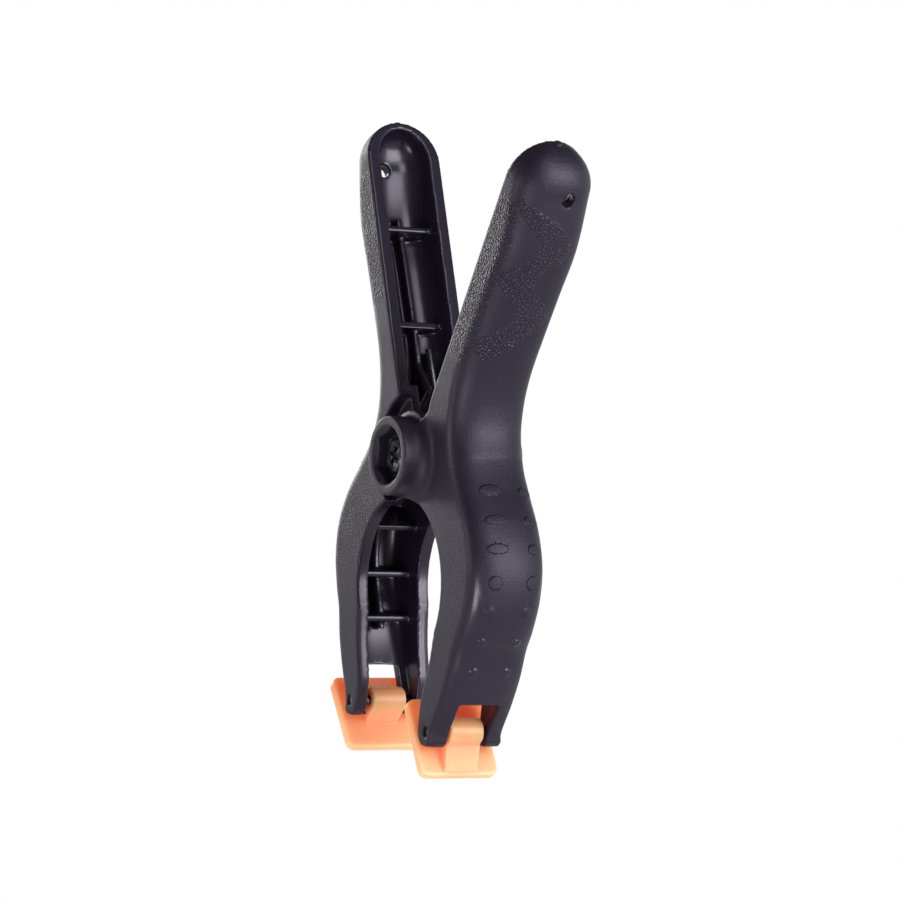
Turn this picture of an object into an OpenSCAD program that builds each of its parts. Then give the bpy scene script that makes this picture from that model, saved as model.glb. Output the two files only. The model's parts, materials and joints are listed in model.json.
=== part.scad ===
// Spring clamp: two moulded nylon arms on one pivot screw, a torsion spring between
// their cheeks, and a swivelling pad on a pin in the fork of each jaw.
// X runs across the jaws, Y along the pivot and Z up to the handles.
// The origin is the centre of the round stock that the throat of the jaws seats.
// Both arms are one moulding: the left arm is the right arm turned half a turn about Z.

/* [Throat] */
// Diameter of the round stock that fills the throat
stock_d = 26; // [23:0.5:26]
// Radial clearance between the stock and the edges of the throat
seat_clear = 0.1; // [0:0.05:0.2]
// Height of the pivot above the centre of the stock
pivot_z = 19; // [18.5:0.25:21]

/* [Handles] */
// Length of a handle from the pivot to its tip
handle_len = 53.8; // [46:1:60]
// Tilt of each handle from the vertical
handle_tilt = 25.7; // [23:0.5:29]
// Depth of the handle from its open rim to the crest of its back
handle_depth = 7.6; // [7:0.2:9]
// Distance from the pivot axis to the plane of the handle rims
rim_offset = 0.55; // [0.4:0.05:0.9]

/* [Arm moulding] */
// Width of an arm along the pivot
arm_w = 12.2; // [11.8:0.1:13]
// Thickness of the back wall
back_wall = 2; // [1.6:0.1:2.4]
// Thickness of the side walls
side_wall = 1.9; // [1.6:0.1:2]
// How far the rounded back falls from its crest to the flat sides
crown = 3.6; // [2.8:0.2:4.4]
// Depth of a jaw from the throat to the crest of its back
jaw_depth = 10.9; // [9.7:0.2:12]
// Diameter of the hanging hole
hang_d = 2; // [1.5:0.1:3]
// Distance of the hanging hole from the tip
hang_in = 6.2; // [5:0.2:12]
// Offset of the hanging hole from the middle of the handle
hang_y = 1.3; // [0:0.1:1.6]
// Thickness of the ribs inside the channel
rib_t = 1; // [0.8:0.1:1.4]

/* [Pivot] */
// Length over both bosses
boss_span = 19.7; // [19:0.1:21]
// Outside diameter of a boss
boss_d = 11.7; // [11:0.1:12.2]
// Diameter of the pivot screw
screw_d = 3; // [2.5:0.1:3.2]
// Radial running clearance of the arms on the screw
pivot_clear = 0.08; // [0.03:0.01:0.1]
// Thickness of the inner cheek
cheek_t = 1.4; // [1.2:0.1:1.5]
// Gap between a cheek and the wall outside it
cheek_gap = 0.1; // [0.05:0.05:0.2]
// Radius of the step that clears the other arm's boss
step_r = 9.6; // [9:0.1:10]

/* [Spring] */
// Diameter of the spring wire
wire_d = 1.1; // [0.8:0.1:1.1]
// Mean radius of the coil
coil_r = 3.7; // [3.6:0.1:4.2]
// Distance of each leg's end from the pivot
leg_len = 18.6; // [14:0.2:19]

/* [Fork and pads] */
// Distance from the centre of the stock across to the pad pin
pin_x = 12.3; // [11.5:0.1:13]
// Distance from the centre of the stock down to the pad pin
pin_drop = 19.7; // [19:0.1:21]
// Diameter of the pad pin
pin_d = 1.5; // [1.2:0.1:1.8]
// Gap between the prongs of the fork
fork_gap = 6.6; // [6:0.1:7]
// Depth of the fork above the pin
fork_depth = 4.8; // [4.4:0.1:5.6]
// Radius of the prong round the pin
prong_r = 2.4; // [2.2:0.05:2.5]
// Width of a pad along the pivot
pad_w = 12.7; // [12:0.1:14]
// Length of a pad
pad_len = 12.2; // [11:0.2:13]
// Thickness of the pad plate
pad_t = 1.6; // [1.4:0.1:2]
// Width of the pad lug in the fork
lug_w = 5.5; // [4.5:0.1:5.7]
// Radius of the lug round the pin
lug_r = 2; // [1.8:0.1:2.3]
// Clearance between the back of the pad and the prong tips
pad_clear = 0.3; // [0.3:0.05:0.6]
// Turn of the right pad from facing straight across, downwards
right_turn = 35.3; // [5:0.1:120]
// Turn of the left pad from facing straight across, downwards and under its prongs
left_turn = 138.5; // [5:0.1:140]

/* [Hidden] */

nylon = "#232325";
orange = "#ff9c66";
steel = "#3a3a3e";
wire = "#8e9096";

seat_r = stock_d / 2 + seat_clear;
half_w = arm_w / 2;
pivot = [0, pivot_z];
pin = [pin_x, -pin_drop];
bore_r = screw_d / 2 + pivot_clear;
wall_in = half_w - side_wall;            // inner face of a side wall
cheek_out = wall_in - cheek_gap;         // outer face of the cheek
cheek_in = cheek_out - cheek_t;          // inner face of the cheek
disc_r = boss_d / 2 + 0.95;              // round flange under the boss
cheek_r = disc_r - 0.2;
merge_r = step_r + 1.9;                  // the cheek joins the wall between step and this
hub_r = coil_r - wire_d / 2 - 0.45;      // tube on the cheek that centres the coil

// ---- screw, nut and their pockets
head_d = 5.6;
head_h = 2.4;
nut_af = 5.5;
nut_h = 2.4;
pocket_af = 7.4;                         // wide hexagon at the mouth of a boss
pocket_depth = 2.5;
seat_af = nut_af + 0.2;                  // narrow hexagon that holds the nut
seat_depth = 3.7;
mouth_r = pocket_af / 2 / cos(30) + 0.25;
seat_y = boss_span / 2 - seat_depth;     // seat of the head and of the nut

// ---- profile of the arm
axis_dir = [sin(handle_tilt), cos(handle_tilt)];
depth_dir = [cos(handle_tilt), -sin(handle_tilt)];
tip_r = half_w;
tip_s = handle_len - tip_r;
tip_depth = handle_depth - 1.2;
tip_crown = crown + 0.5;
tip_wall = 1.1;

// A point of the handle: s up from the pivot, t in from the rim plane
function handle_pt(s, t) = pivot + s * axis_dir + (t + rim_offset) * depth_dir;
// A point of the jaw: at an angle from +X and a radius about the stock
function jaw_pt(angle, r) = r * [cos(angle), sin(angle)];

// A station holds the rim point, the crest point, half width, crown, side wall and back wall
function station(rim, crest, w, c, side, back) =
    [rim[0], rim[1], crest[0], crest[1], w, c, side, back];
function plain(rim, crest, c = crown) = station(rim, crest, half_w, c, side_wall, back_wall);
function handle_station(s, extra = 0) =
    plain(handle_pt(s, 0), handle_pt(s, handle_depth + extra));
function jaw_station(angle, extra = 0) =
    plain(jaw_pt(angle, seat_r - 0.6), jaw_pt(angle, seat_r + jaw_depth + extra), crown - 0.4);
function prong_station(rim, crest, side, c = 1.6) =
    station(pin + rim, pin + crest, half_w, c, side, back_wall);

prong_t = half_w - fork_gap / 2 + 0.1;   // the cut of the fork trims the last of it
nose = prong_r / 2.4;
stations = [
    plain(handle_pt(tip_s, 0), handle_pt(tip_s, tip_depth), tip_crown),
    handle_station(tip_s - 8, 0.1),
    handle_station(tip_s - 16, -0.2),
    handle_station(tip_s - 23, -0.4),
    handle_station(tip_s - 28.5, -0.45),
    plain(handle_pt(14, 0), pivot + [14.1, 10.4]),
    plain(pivot + [4.9, 8.8], pivot + [13.7, 7.5]),
    plain(pivot + [3.4, 3], pivot + [13.8, 5.3]),
    plain(pivot + [3.3, -3], pivot + [14.4, 3.1]),
    plain(pivot + [5.2, -7.4], pivot + [15.4, 0.8]),
    jaw_station(44, 0.1),
    jaw_station(30, 0.1),
    jaw_station(16, 0.1),
    jaw_station(3, -0.6),
    jaw_station(-10, -1.6),
    plain(jaw_pt(-27, seat_r + 0.35), jaw_pt(-18, seat_r + jaw_depth - 2.4), crown - 0.8),
    station(pin + [-1, 8.9], pin + [6.9, 8.8], half_w, 2.4, side_wall + 0.3, back_wall),
    station(pin + [-2.3, 4.2], pin + [4.9, 4.6], half_w, 2, prong_t, back_wall),
    prong_station(nose * [-2.4, 0], nose * [2.4, 0.1], prong_t),
    prong_station(nose * [-2.05, -1.25], nose * [2.05, -1.25], prong_t, 1),
    prong_station(nose * [-1.1, -2.1], nose * [1.1, -2.12], prong_t, 0.6)
];
steps = 3;                               // sections per stretch between two stations

function smooth(a, b, c, d, t) =
    0.5 * (2 * b + (c - a) * t + (2 * a - 5 * b + 4 * c - d) * t * t
           + (3 * b - a - 3 * c + d) * t * t * t);
function between(k, t) =
    smooth(stations[max(k - 1, 0)], stations[k],
           stations[min(k + 1, len(stations) - 1)],
           stations[min(k + 2, len(stations) - 1)], t);
function rim_of(v) = [v[0], v[1]];
function crest_of(v) = [v[2], v[3]];

// ---- cross-section of the arm: a D with an open channel
arch_n = 12;                             // steps round the back, and round the channel floor
squareness = 2.4;
function sup(x) = sign(x) * pow(abs(x), 2 / squareness);
function arch(w, c, depth, n) =
    [for (i = [0:n]) let (g = 180 * i / n) [depth - c + c * sup(sin(g)), w * sup(cos(g))]];
function reversed(list) = [for (i = [len(list) - 1:-1:0]) list[i]];
function placed(v, pts) =
    let (d = crest_of(v) - rim_of(v), u = d / norm(d))
    [for (p = pts) [v[0] + p[0] * u[0], p[1], v[1] + p[0] * u[1]]];
function channel(v) =
    let (d = norm(crest_of(v) - rim_of(v)), w = v[4], wi = w - v[6], ci = v[5] * wi / w)
    placed(v, concat([[0, w]], arch(w, v[5], d, arch_n), [[0, -w], [0, -wi]],
                     reversed(arch(wi, ci, d - v[7], arch_n)), [[0, wi]]));

// The tip closes in a dome, and so does the end of the channel inside it
tip_steps = [14, 27, 38, 46, 55, 65, 75, 83, 88];
function tip_section(g) =
    let (s = tip_r * sin(g), w = half_w * cos(g), d = tip_depth * pow(cos(g), 0.9),
         wall = half_w - side_wall, left = 1 - pow(s / (tip_r - tip_wall), 2),
         wi = left > 0 ? wall * sqrt(left) : 0, di = (tip_depth - back_wall) * pow(wi / wall, 0.7),
         c = tip_crown * pow(cos(g), 0.9), rim = handle_pt(tip_s + s, 0),
         v = station(rim, handle_pt(tip_s + s, d), w, c, side_wall, back_wall),
         inner = wi > 0
             ? arch(wi, tip_crown * 0.7 * wi / wall, di, arch_n)
             : [for (i = [0:arch_n]) [0, w * (0.5 - i / arch_n) * 0.6]])
    placed(v, concat([[0, w]], arch(w, c, d, arch_n),
                     [[0, -w], [0, wi > 0 ? -wi : -0.35 * w]],
                     reversed(inner), [[0, wi > 0 ? wi : 0.35 * w]]));
sections = concat(
    [for (i = [len(tip_steps) - 1:-1:0]) tip_section(tip_steps[i])],
    [for (k = [0:len(stations) - 2], j = [0:steps - 1]) channel(between(k, j / steps))],
    [channel(stations[len(stations) - 1])]);

// Skin over a list of sections with as many points each. The end faces of an arm are strips
// between its outer and inner outlines, and those of a wire are fans.
module skin(rows, folded = false) {
    n = len(rows[0]);
    m = len(rows);
    last = (m - 1) * n;
    strip = [for (i = [0:n / 2 - 2]) let (a = i, b = i + 1, c = n - 2 - i, d = n - 1 - i)
        each i < n / 4 ? [[a, b, d], [b, c, d]] : [[a, b, c], [a, c, d]]];
    fan = [for (i = [1:n - 2]) [0, i, i + 1]];
    end = folded ? strip : fan;
    polyhedron(
        points = [for (r = rows) each r],
        faces = concat(
            end,
            [for (r = [0:m - 2], i = [0:n - 1], half = [0, 1])
                let (a = r * n + i, b = r * n + (i + 1) % n)
                half == 0 ? [a, a + n, b] : [b, a + n, b + n]],
            [for (f = end) [last + f[2], last + f[1], last + f[0]]]),
        convexity = 6);
}

// ---- placing helpers
// Stands a flat XZ outline up between two places along Y
module slab(y0, y1) {
    translate([0, y1, 0]) rotate([90, 0, 0]) linear_extrude(y1 - y0) children();
}
// A cylinder along Y about a point of the XZ plane
module rod(p, r, y0, y1, sides = 64) {
    translate([p[0], y1, p[1]]) rotate([90, 0, 0]) cylinder(r = r, h = y1 - y0, $fn = sides);
}
// A hexagonal prism along Y with its corners up and down
module hexagon(p, af, y0, y1) {
    translate([p[0], y1, p[1]]) rotate([90, 0, 0]) rotate(30)
        cylinder(r = af / 2 / cos(30), h = y1 - y0, $fn = 6);
}

// ---- arm
// The half of the pivot area that belongs to the right arm, as an XZ outline
module arm_side() {
    polygon([pivot + [0, 0] + rim_offset * depth_dir, handle_pt(16, 0),
             pivot + [18, 6], pivot + [18, -16], pivot + [1, -16], pivot + [1, 0]]);
}
module boss() {
    fillet = 2.2;
    y_face = boss_span / 2;
    rod(pivot, boss_d / 2, -y_face, -wall_in);
    rod(pivot, disc_r, -half_w, -wall_in);
    // concave blend between the boss and the side wall, on the arm's side only
    intersection() {
        translate([0, -half_w, pivot_z]) rotate([90, 0, 0]) rotate_extrude($fn = 64)
            difference() {
                translate([0, -0.5]) square([boss_d / 2 + fillet, fillet + 0.5]);
                translate([boss_d / 2 + fillet, fillet]) circle(r = fillet, $fn = 48);
            }
        slab(-half_w - fillet - 1, -half_w + 0.5) arm_side();
    }
}
module boss_pocket() {
    y_face = boss_span / 2;
    hexagon(pivot, pocket_af, -y_face - 1, -y_face + pocket_depth);
    hexagon(pivot, seat_af, -y_face - 1, -y_face + seat_depth);
    translate([0, -y_face, pivot_z]) rotate([90, 0, 0])
        translate([0, 0, -0.5]) cylinder(r1 = mouth_r - 0.5, r2 = mouth_r + 0.5, h = 1, $fn = 64);
}
module cheek() {
    rod(pivot, cheek_r, cheek_in, cheek_out);
    rod(pivot, hub_r, 0.15, cheek_in + 0.2);
    intersection() {
        rod(pivot, merge_r, cheek_in, wall_in + 0.5);
        slab(cheek_in - 1, wall_in + 1) arm_side();
    }
}
// Long rib on the middle of the channel floor, from one station to another, and on to its toe
module long_rib(k0, k1, rise, toe = []) {
    rail = [for (k = [k0:k1 - 1], j = [0:2]) between(k, j / 3)];
    slab(-rib_t / 2, rib_t / 2)
        polygon(concat(
            [for (v = rail) let (d = crest_of(v) - rim_of(v))
                crest_of(v) - (back_wall + rise) * d / norm(d)],
            [for (p = toe) pivot + p],
            reversed([for (v = rail) let (d = crest_of(v) - rim_of(v))
                crest_of(v) - back_wall / 2 * d / norm(d)])));
}
// Cross rib between the side walls at a place along the arm
module cross_rib(k, t, top) {
    v = between(k, t);
    d = crest_of(v) - rim_of(v);
    a = atan2(d[1], d[0]);
    wi = half_w - side_wall + 0.3;
    translate([v[0], 0, v[1]]) rotate([0, -a, 0])
        translate([top, -wi, -rib_t / 2]) cube([norm(d) - back_wall + 0.5 - top, 2 * wi, rib_t]);
}
// Raised marks on the back of the jaw: place along the arm, place along Y, length and width
marks = [
    [10.03, -1.8, 3.4, 1.5], [10.87, -2, 3.4, 1.5], [11.61, -2.4, 3.2, 1.5],
    [12.48, -2.8, 2, 2], [13.28, -3.1, 1.7, 1.7], [14.41, -3.1, 1.6, 1.6], [15.73, -2.9, 1.5, 1.5],
    [10.03, 4.2, 2.6, 1.5], [10.87, 3.9, 2.6, 1.5], [11.61, 3.8, 2.6, 1.5],
    [12.48, 3.2, 2, 2], [13.28, 2.9, 1.7, 1.7], [14.41, 2.6, 1.6, 1.6], [15.73, 2.5, 1.5, 1.5]
];
mark_rise = 0.2;
// How far the back has fallen from its crest at a place along Y
function fall(v, y) =
    v[5] * (1 - sup(sqrt(1 - pow(abs(y) / v[4], squareness))));
module mark(place, y, length, width) {
    k = floor(place);
    v = between(k, place - k);
    slope = crest_of(between(k, place - k + 0.05)) - crest_of(between(k, place - k - 0.05));
    d = crest_of(v) - rim_of(v);
    p = crest_of(v) - fall(v, y) * d / norm(d);
    lean = atan((fall(v, y + 0.2) - fall(v, y - 0.2)) / 0.4);
    // how far the back has bent away from the mark's flat foot
    function bent(q) = (fall(v, y + q * cos(lean)) - fall(v, y) - q * sin(lean)) * cos(lean);
    translate([p[0], y, p[1]]) rotate([0, 90 - atan2(slope[0], -slope[1]), 0]) rotate([-lean, 0, 0])
        skin([for (z = [-0.8, mark_rise]) [for (g = [0:15:345]) let (q = length / 2 * sin(g))
            [width / 2 * cos(g), q, z - bent(q)]]]);
}
// Stub of the moulding gate on the tip
module nub() {
    p = handle_pt(handle_len - 0.8, 1);
    translate([p[0], 0, p[1]]) rotate([0, handle_tilt, 0]) cylinder(r = 0.6, h = 1.05, $fn = 24);
}
module arm_moulding() {
    difference() {
        union() {
            skin(sections, folded = true);
            boss();
            cheek();
            for (m = marks) mark(m[0], m[1], m[2], m[3]);
            nub();
            long_rib(1, 5, 1.8, [[6.5, 9.6], [9.6, 6], [12.6, 6.8]]);
            cross_rib(1, 0.3, 2.2);
            cross_rib(3, 0.45, 2.8);
            long_rib(11, 16, 2.6);
            cross_rib(11, 0.5, 3.4);
            cross_rib(13, 0.5, 3.4);
            cross_rib(15, 0.3, 2.6);
        }
        rod([0, 0], seat_r, -half_w - 1, half_w + 1, 96);
        rod(pivot, bore_r, -boss_span, boss_span, 48);
        rod(pivot, step_r, cheek_out, half_w + 1, 96);
        boss_pocket();
        // mouth of the fork
        translate([pin_x - 6, -fork_gap / 2, -pin_drop - 6]) cube([14, fork_gap, 6 + fork_depth]);
        rod(pin, pin_d / 2 + 0.01, -half_w - 1, half_w + 1, 32);
        hang_hole();
    }
}
module hang_hole() {
    p = handle_pt(handle_len - hang_in, 0);
    translate([p[0], hang_y, p[1]]) rotate([0, 90 + handle_tilt, 0])
        translate([0, 0, 1]) cylinder(r = hang_d / 2, h = handle_depth + 2, $fn = 32);
}
module right_arm() {
    color(nylon) arm_moulding();
}
module left_arm() {
    color(nylon) rotate([0, 0, 180]) arm_moulding();
}

// ---- pivot fasteners
module pivot_screw() {
    dome = 0.9;
    color(steel) difference() {
        translate([0, -seat_y, pivot_z]) rotate([90, 0, 0]) rotate_extrude($fn = 48)
            polygon(concat([[0, -seat_y - boss_span / 2]],
                [[screw_d / 2 - 0.3, -seat_y - boss_span / 2],
                 [screw_d / 2, -seat_y - boss_span / 2 + 0.3], [screw_d / 2, 0],
                 [head_d / 2, 0]],
                [for (g = [0:10:90])
                    [head_d / 2 - dome + dome * cos(g), head_h - dome + dome * sin(g)]],
                [[0, head_h + 0.05]]));
        for (turn = [20, 110])
            translate([0, -seat_y - head_h - 0.1, pivot_z]) rotate([0, turn, 0])
                translate([-1.6, 0, -0.4]) cube([3.2, 1.5, 0.8]);
    }
}
module pivot_nut() {
    color(steel) difference() {
        intersection() {
            hexagon(pivot, nut_af, seat_y, seat_y + nut_h);
            translate([0, seat_y + nut_h, pivot_z]) rotate([90, 0, 0])
                cylinder(r1 = nut_af / 2 + 0.05, r2 = nut_af / 2 + nut_h, h = nut_h, $fn = 48);
        }
        rod(pivot, screw_d / 2 + 0.02, 0, boss_span, 48);
    }
}

// ---- torsion spring: a leg in each handle and a close coil between them
coil_y = cheek_in - wire_d / 2 - 0.05;   // the legs lie this far from the middle
start_angle = 180 + handle_tilt;
coil_turn = 3 * 360 + 180 - 2 * handle_tilt;
coil_n = 64;
leg_swing = 2.2;                         // the legs lean out to the channel floor
function coil_pt(i) =
    let (g = start_angle + coil_turn * i / coil_n, y = coil_y * (1 - 2 * i / coil_n))
    [coil_r * cos(g), y, pivot_z + coil_r * sin(g)];
function leg_pt(side, s) =
    let (q = pivot + s * axis_dir + coil_r * depth_dir
             + s * sin(leg_swing) * depth_dir)
    [side * q[0], -side * coil_y, q[1]];
spring_path = concat(
    [leg_pt(-1, leg_len), leg_pt(-1, leg_len / 2), leg_pt(-1, 1.2)],
    [for (i = [0:coil_n]) coil_pt(i)],
    [leg_pt(1, 1.2), leg_pt(1, leg_len / 2), leg_pt(1, leg_len)]);
function unit(v) = v / norm(v);
function tangent(path, i) =
    unit(path[min(i + 1, len(path) - 1)] - path[max(i - 1, 0)]);
// Ring of a wire: one side lies along Y, which the wire never follows
function ring(path, i, r, sides) =
    let (t = tangent(path, i), a = unit(cross(t, [0, 1, 0])), b = cross(a, t))
    [for (j = [0:sides - 1]) let (g = 360 * (j + 0.5) / sides)
        path[i] + r * (cos(g) * a + sin(g) * b)];
module torsion_spring() {
    color(wire) skin([for (i = [0:len(spring_path) - 1]) ring(spring_path, i, wire_d / 2, 8)]);
}

// ---- pads: modelled round their pin, facing -X, then turned about it
pad_back = prong_r + pad_clear;          // back of the plate from the pin axis
pad_above = 6.5;                         // reach of the plate above the pin
pad_corner = 1.3;
module pad() {
    difference() {
        union() {
            translate([-pad_back - pad_t, 0, 0]) rotate([90, 0, 90]) linear_extrude(pad_t)
                hull() for (y = [-1, 1], z = [pad_above - pad_len + pad_corner,
                                              pad_above - pad_corner])
                    translate([y * (pad_w / 2 - pad_corner), z]) circle(pad_corner, $fn = 32);
            slab(-lug_w / 2, lug_w / 2) hull() {
                circle(r = lug_r, $fn = 32);
                translate([-pad_back - pad_t / 2, pad_above - pad_len + 0.4])
                    square([pad_t / 2 + 0.4, pad_len - pad_above + lug_r + 0.6]);
            }
        }
        rod([0, 0], pin_d / 2 + 0.05, -lug_w, lug_w, 32);
    }
}
module right_pad() {
    color(orange) translate([pin[0], 0, pin[1]]) rotate([0, -right_turn, 0]) pad();
}
module left_pad() {
    color(orange) rotate([0, 0, 180])
        translate([pin[0], 0, pin[1]]) rotate([0, -left_turn, 0]) pad();
}

// ---- pad pins, pressed into the prongs a little below their faces
module pad_pin() {
    color(steel) rod(pin, pin_d / 2, -half_w + 0.3, half_w - 0.3, 32);
}
module right_pad_pin() {
    pad_pin();
}
module left_pad_pin() {
    rotate([0, 0, 180]) pad_pin();
}

left_arm();
right_arm();
pivot_screw();
pivot_nut();
torsion_spring();
left_pad();
right_pad();
left_pad_pin();
right_pad_pin();
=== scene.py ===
"""Looks of a spring clamp: two black moulded nylon arms on a pivot screw, a torsion spring
between them, and an orange swivelling pad on a pin in the fork of each jaw.

Each piece is shaped with one Blender unit to the millimetre, and its mesh is brought to
metres when it is finished. X runs across the jaws, Y along the pivot and Z up.
"""

import json
import math
from functools import partial
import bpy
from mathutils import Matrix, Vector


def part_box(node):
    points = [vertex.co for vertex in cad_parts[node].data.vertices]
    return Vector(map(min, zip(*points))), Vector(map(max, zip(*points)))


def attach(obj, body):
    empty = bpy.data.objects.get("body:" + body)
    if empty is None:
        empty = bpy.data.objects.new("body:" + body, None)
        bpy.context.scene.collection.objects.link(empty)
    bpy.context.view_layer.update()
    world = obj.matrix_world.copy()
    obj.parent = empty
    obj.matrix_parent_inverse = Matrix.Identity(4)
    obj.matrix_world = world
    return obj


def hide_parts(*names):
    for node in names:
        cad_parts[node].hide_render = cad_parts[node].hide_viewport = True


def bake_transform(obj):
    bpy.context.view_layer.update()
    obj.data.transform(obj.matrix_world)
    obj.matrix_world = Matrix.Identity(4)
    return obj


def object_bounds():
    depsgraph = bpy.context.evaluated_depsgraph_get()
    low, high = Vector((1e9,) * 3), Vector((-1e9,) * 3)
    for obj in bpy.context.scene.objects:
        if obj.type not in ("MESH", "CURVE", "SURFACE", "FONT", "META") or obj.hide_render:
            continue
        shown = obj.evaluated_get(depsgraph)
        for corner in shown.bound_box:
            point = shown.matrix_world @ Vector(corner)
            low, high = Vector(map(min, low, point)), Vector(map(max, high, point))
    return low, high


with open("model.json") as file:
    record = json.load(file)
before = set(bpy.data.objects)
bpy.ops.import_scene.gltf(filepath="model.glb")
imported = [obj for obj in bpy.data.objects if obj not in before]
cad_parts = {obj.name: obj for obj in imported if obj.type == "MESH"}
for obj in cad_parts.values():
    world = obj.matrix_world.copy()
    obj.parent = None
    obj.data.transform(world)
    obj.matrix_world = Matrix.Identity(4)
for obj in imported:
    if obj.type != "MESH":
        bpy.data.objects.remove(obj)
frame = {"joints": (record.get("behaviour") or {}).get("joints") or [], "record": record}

from types import SimpleNamespace

import bmesh
import bpy
import numpy as np
from bpy.props import FloatProperty, FloatVectorProperty, PointerProperty
from mathutils import Matrix, Vector

bl_info = {
    "name": "Spring clamp",
    "version": (1, 0, 0),
    "blender": (4, 5, 0),
    "location": "View3D > Sidebar > Clamp",
    "description": "Dresses the pieces of a spring clamp around its packed solids",
    "category": "Object",
}

MM = 0.001
CAD_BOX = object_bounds()
JOINTS = {joint["name"]: joint for joint in frame["joints"]}
MOUNTS = {mount["name"]: mount for mount in frame["record"]["mounts"]}


def flat(point):
    """X and Z of a point of the record, in millimetres."""
    return Vector((point[0], point[2])) / MM


PIVOT = flat(JOINTS["arm_hinge"]["pos_m"])
PIN = flat(JOINTS["right_pad_swivel"]["pos_m"])
SEAT_R = MOUNTS["throat"]["dims"]["r_mm"]
HANG = MOUNTS["right_hanging_hole"]
BOSS_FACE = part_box("right_arm")[0].y / MM


def linear(hex_colour):
    """An sRGB hex colour as the linear colour that shaders take."""
    channels = [int(hex_colour[i:i + 2], 16) / 255 for i in (1, 3, 5)]
    return [c / 12.92 if c <= 0.04045 else ((c + 0.055) / 1.055) ** 2.4 for c in channels]


def length(name, description, millimetres):
    """A length in the sidebar."""
    return FloatProperty(name=name, description=description, default=millimetres * MM,
                         unit="LENGTH", precision=5)


def colour(name, description, hex_colour):
    """A colour in the sidebar."""
    return FloatVectorProperty(name=name, description=description, subtype="COLOR",
                               default=linear(hex_colour), min=0, max=1)


class ClampArmSizes(bpy.types.PropertyGroup):
    """Sizes of the arm moulding."""
    handle_len: length("Handle length", "From the pivot to the tip of a handle", 53.8)
    handle_tilt: FloatProperty(name="Handle tilt", description="Tilt of a handle from the vertical",
                               default=math.radians(25.7), subtype="ANGLE")
    handle_depth: length("Handle depth", "From the open rim to the crest of the back", 7.6)
    rim_offset: length("Rim offset", "From the pivot axis to the plane of the rims", 0.55)
    arm_w: length("Arm width", "Width of an arm along the pivot", 12.2)
    back_wall: length("Back wall", "Thickness of the back wall", 2)
    side_wall: length("Side wall", "Thickness of the side walls", 1.9)
    crown: length("Crown", "Fall of the rounded back to the flat sides", 3.6)
    jaw_depth: length("Jaw depth", "From the throat to the crest of a jaw's back", 10.9)
    boss_d: length("Boss diameter", "Outside diameter of a boss", 11.7)
    mark_rise: length("Mark height", "Height of the raised marks on a jaw", 0.2)


class ClampMetalSizes(bpy.types.PropertyGroup):
    """Sizes of the screw, nut, pins and spring."""
    screw_d: length("Screw diameter", "Diameter of the pivot screw", 3)
    head_d: length("Head diameter", "Diameter of the screw's head", 5.6)
    nut_af: length("Nut width", "Width of the nut across its flats", 5.5)
    wire_d: length("Wire diameter", "Diameter of the spring wire", 1.1)
    coil_r: length("Coil radius", "Mean radius of the spring's coil", 3.7)
    pin_d: length("Pin diameter", "Diameter of a pad pin", 1.5)


class ClampPadSizes(bpy.types.PropertyGroup):
    """Sizes of a pad."""
    pad_w: length("Pad width", "Width of a pad along the pivot", 12.7)
    pad_len: length("Pad length", "Length of a pad", 12.2)
    pad_t: length("Pad thickness", "Thickness of a pad's plate", 1.6)
    lug_w: length("Lug width", "Width of the lug in the fork", 5.5)
    lug_r: length("Lug radius", "Radius of the lug round its pin", 2)


class ClampColours(bpy.types.PropertyGroup):
    """Colours of the clamp's materials."""
    nylon: colour("Nylon", "Black moulded nylon of the arms", "#1c1825")
    pad: colour("Pad", "Orange moulded pads", "#ff8552")
    black_steel: colour("Black steel", "Oxide black of the screw, nut and pins", "#2b2a2c")
    spring_steel: colour("Spring steel", "Drawn spring wire", "#9a9ca3")


def in_mm(sizes):
    """The lengths among a group of sizes, in millimetres."""
    lengths = {name: getattr(sizes, name) / MM for name in type(sizes).__annotations__
               if sizes.bl_rna.properties[name].unit == "LENGTH"}
    return SimpleNamespace(**lengths)


# ---- modelling helpers

def deselect():
    """Nothing is selected, in object mode."""
    if bpy.context.object and bpy.context.object.mode != "OBJECT":
        bpy.ops.object.mode_set(mode="OBJECT")
    bpy.ops.object.select_all(action="DESELECT")


def make_active(obj):
    """obj alone is selected and active."""
    deselect()
    obj.select_set(True)
    bpy.context.view_layer.objects.active = obj


def apply_modifier(obj, kind, **settings):
    """Adds a modifier with its settings and applies it."""
    make_active(obj)
    modifier = obj.modifiers.new(kind.title(), kind)
    for name, value in settings.items():
        setattr(modifier, name, value)
    bpy.ops.object.modifier_apply(modifier=modifier.name)


def round_edges(obj, width, segments, degrees=30):
    """Bevels the edges that turn by more than an angle."""
    apply_modifier(obj, "BEVEL", width=width, segments=segments, limit_method="ANGLE",
                   angle_limit=math.radians(degrees))


def combine(obj, other, operation):
    """Adds other to obj, cuts it out of obj or keeps what they share, and removes other."""
    apply_modifier(obj, "BOOLEAN", object=other, operation=operation, solver="MANIFOLD")
    bpy.data.objects.remove(other)
    return obj


def fuse(obj, other):
    return combine(obj, other, "UNION")


def cut(obj, other):
    return combine(obj, other, "DIFFERENCE")


def edit_all(obj):
    """Opens a mesh in edit mode, with all of it selected."""
    make_active(obj)
    bpy.ops.object.mode_set(mode="EDIT")
    bpy.ops.mesh.select_all(action="SELECT")


def tidy_normals(obj):
    """Merges doubled points and points all faces outwards."""
    edit_all(obj)
    bpy.ops.mesh.remove_doubles(threshold=1e-4)
    bpy.ops.mesh.normals_make_consistent(inside=False)
    bpy.ops.object.mode_set(mode="OBJECT")


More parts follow.
